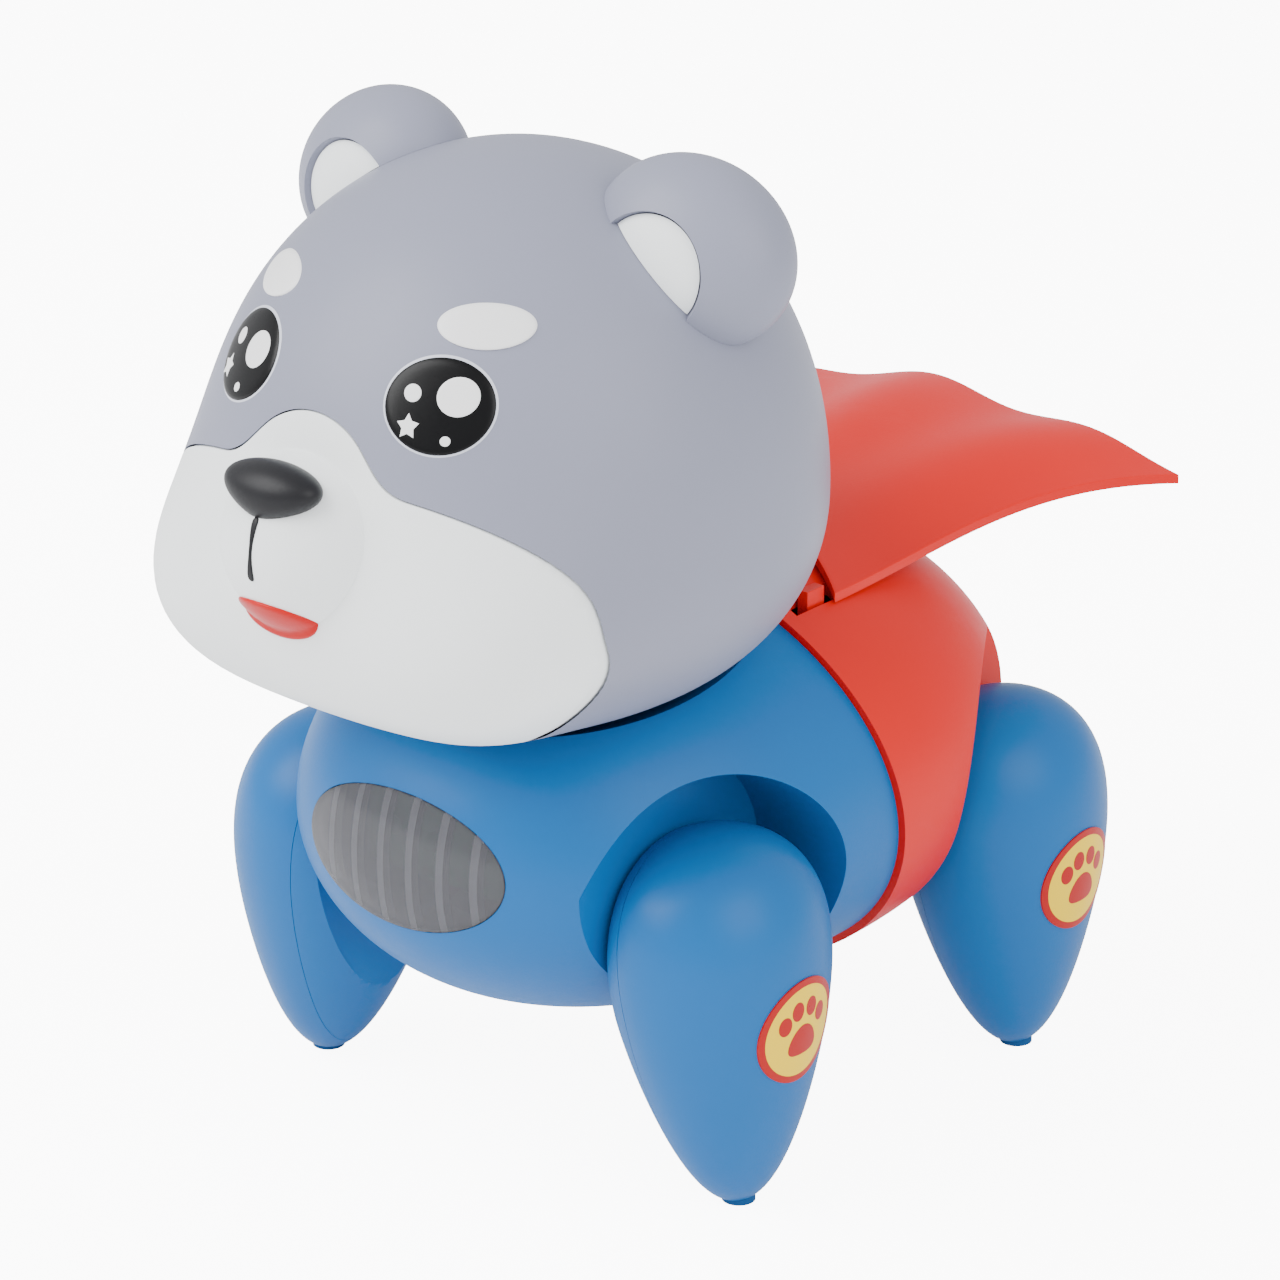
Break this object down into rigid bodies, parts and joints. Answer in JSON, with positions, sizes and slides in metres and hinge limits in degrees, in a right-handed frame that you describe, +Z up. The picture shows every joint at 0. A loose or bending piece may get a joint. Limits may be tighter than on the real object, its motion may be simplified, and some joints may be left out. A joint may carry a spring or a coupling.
{
  "type": "walking toy robot dog",
  "caption": "Battery walking toy puppy: big turning head, two-colour body with a smoked chest lens, swinging drop-shaped legs and a flapping cape.",
  "frame": {"origin": "on the surface it stands on, under the middle of its whole length and width", "axes": "+Z up, -Y towards the face, +X towards the puppy's left"},
  "size_m": [0.11, 0.1717, 0.1614],
  "materials": {
    "blue_shell": "satin moulded blue",
    "red_shell": "satin moulded red",
    "head_grey": "soft matte lavender grey",
    "face_white": "matte white",
    "eye_black": "printed black with white highlights",
    "nose_black": "charcoal, semi gloss",
    "tongue_red": "matte red",
    "smoke_lens": "smoked clear plastic with moulded ribs",
    "sticker": "printed vinyl, yellow with red rim and paw",
    "foot_rubber": "soft rubber",
    "steel": "bright steel",
    "gear_nylon": "natural nylon",
    "chassis_grey": "dark grey ABS",
    "plate_white": "white ABS",
    "board_green": "green circuit board",
    "cell_wrap": "printed cell wrap",
    "switch_black": "black",
    "bush_tan": "acetal"
  },
  "bodies": {
    "torso": {"front_shell": "blue_shell", "rear_shell": "red_shell", "chest_lens": "smoke_lens", "light_board": "board_green", "gearbox_left_plate": "plate_white", "gearbox_right_plate": "plate_white", "gear_pins": "steel", "motor": "steel", "main_board": "board_green", "speaker": "chassis_grey", "battery_box": "chassis_grey", "battery_cells": "cell_wrap", "battery_contacts": "steel", "switch_body": "switch_black", "leg_bushes": "bush_tan", "neck_post": "chassis_grey", "chassis_screws": "steel", "cape_pins": "steel"},
    "motor_rotor": {"motor_pinion": "steel"},
    "first_gear": {"first_gear": "gear_nylon"},
    "second_gear": {"second_gear": "gear_nylon"},
    "crank": {"crank_gear": "gear_nylon", "crank_shaft": "steel"},
    "link_left": {"link_left": "gear_nylon"},
    "link_right": {"link_right": "gear_nylon"},
    "power_switch": {"switch_knob": "switch_black"},
    "battery_door": {"battery_door": "blue_shell"},
    "door_screw": {"door_screw": "steel"},
    "head": {"head_shell": "head_grey", "neck_bush": "bush_tan", "face_mask": "face_white", "nose": "nose_black", "mouth_line": "nose_black", "tongue": "tongue_red", "eyes": "eye_black", "brows": "face_white", "ear_left": "head_grey", "ear_right": "head_grey", "ear_liners": "face_white"},
    "cape": {"cape": "red_shell"},
    "leg_front_left": {"leg_outer_front_left": "blue_shell", "leg_inner_front_left": "blue_shell", "leg_axle_front_left": "steel", "foot_pad_front_left": "foot_rubber", "leg_sticker_front_left": "sticker"},
    "leg_front_right": {"leg_outer_front_right": "blue_shell", "leg_inner_front_right": "blue_shell", "leg_axle_front_right": "steel", "foot_pad_front_right": "foot_rubber", "leg_sticker_front_right": "sticker"},
    "leg_rear_left": {"leg_outer_rear_left": "blue_shell", "leg_inner_rear_left": "blue_shell", "leg_axle_rear_left": "steel", "foot_pad_rear_left": "foot_rubber", "leg_sticker_rear_left": "sticker"},
    "leg_rear_right": {"leg_outer_rear_right": "blue_shell", "leg_inner_rear_right": "blue_shell", "leg_axle_rear_right": "steel", "foot_pad_rear_right": "foot_rubber", "leg_sticker_rear_right": "sticker"}
  },
  "joints": [
    {"name": "leg_front_left_swing", "type": "hinge", "parent": "torso", "child": "leg_front_left", "pos_m": [0.0285, -0.02675, 0.046], "axis": [1, 0, 0], "range_deg": [-14, 14]},
    {"name": "leg_front_right_swing", "type": "hinge", "parent": "torso", "child": "leg_front_right", "pos_m": [-0.0285, -0.02675, 0.046], "axis": [1, 0, 0], "range_deg": [-14, 14]},
    {"name": "leg_rear_left_swing", "type": "hinge", "parent": "torso", "child": "leg_rear_left", "pos_m": [0.0285, 0.04525, 0.046], "axis": [1, 0, 0], "range_deg": [-14, 14]},
    {"name": "leg_rear_right_swing", "type": "hinge", "parent": "torso", "child": "leg_rear_right", "pos_m": [-0.0285, 0.04525, 0.046], "axis": [1, 0, 0], "range_deg": [-14, 14]},
    {"name": "link_left_turn", "type": "hinge", "parent": "leg_front_left", "child": "link_left", "pos_m": [0.023, -0.02675, 0.06], "axis": [1, 0, 0], "range_deg": [-14, 14]},
    {"name": "link_right_turn", "type": "hinge", "parent": "leg_front_right", "child": "link_right", "pos_m": [-0.023, -0.02675, 0.06], "axis": [1, 0, 0], "range_deg": [-14, 14]},
    {"name": "crank_turn", "type": "hinge", "parent": "torso", "child": "crank", "pos_m": [0, 0.00925, 0.06], "axis": [1, 0, 0], "continuous": true},
    {"name": "second_gear_turn", "type": "hinge", "parent": "torso", "child": "second_gear", "pos_m": [0, 0.02422, 0.0579], "axis": [1, 0, 0], "continuous": true},
    {"name": "first_gear_turn", "type": "hinge", "parent": "torso", "child": "first_gear", "pos_m": [0, 0.03684, 0.06378], "axis": [1, 0, 0], "continuous": true},
    {"name": "motor_turn", "type": "hinge", "parent": "torso", "child": "motor_rotor", "pos_m": [0, 0.04889, 0.05682], "axis": [1, 0, 0], "continuous": true},
    {"name": "head_turn", "type": "hinge", "parent": "torso", "child": "head", "pos_m": [0, -0.02695, 0.0716], "axis": [0, 0, 1], "range_deg": [-12, 12]},
    {"name": "cape_flap", "type": "hinge", "parent": "torso", "child": "cape", "pos_m": [0, 0.01025, 0.07769], "axis": [1, 0, 0], "range_deg": [0, 12]},
    {"name": "power_switch_slide", "type": "slide", "parent": "torso", "child": "power_switch", "axis": [1, 0, 0], "range_m": [-0.002, 0.002]},
    {"name": "battery_door_lift", "type": "slide", "parent": "torso", "child": "battery_door", "axis": [0, 0, -1], "range_m": [0, 0.012]},
    {"name": "door_screw_turn", "type": "hinge", "parent": "battery_door", "child": "door_screw", "pos_m": [0, -0.02265, 0.02], "axis": [0, 0, 1], "continuous": true}
  ],
  "couplings": [
    {"joint": "leg_rear_left_swing", "follows": "leg_front_left_swing", "ratio": 1},
    {"joint": "leg_front_right_swing", "follows": "leg_front_left_swing", "ratio": -1},
    {"joint": "leg_rear_right_swing", "follows": "leg_front_left_swing", "ratio": -1},
    {"joint": "link_left_turn", "follows": "leg_front_left_swing", "ratio": -1},
    {"joint": "link_right_turn", "follows": "leg_front_left_swing", "ratio": 1},
    {"joint": "crank_turn", "follows": "second_gear_turn", "ratio": -0.25},
    {"joint": "first_gear_turn", "follows": "second_gear_turn", "ratio": -3.6},
    {"joint": "motor_turn", "follows": "second_gear_turn", "ratio": 12.96}
  ]
}
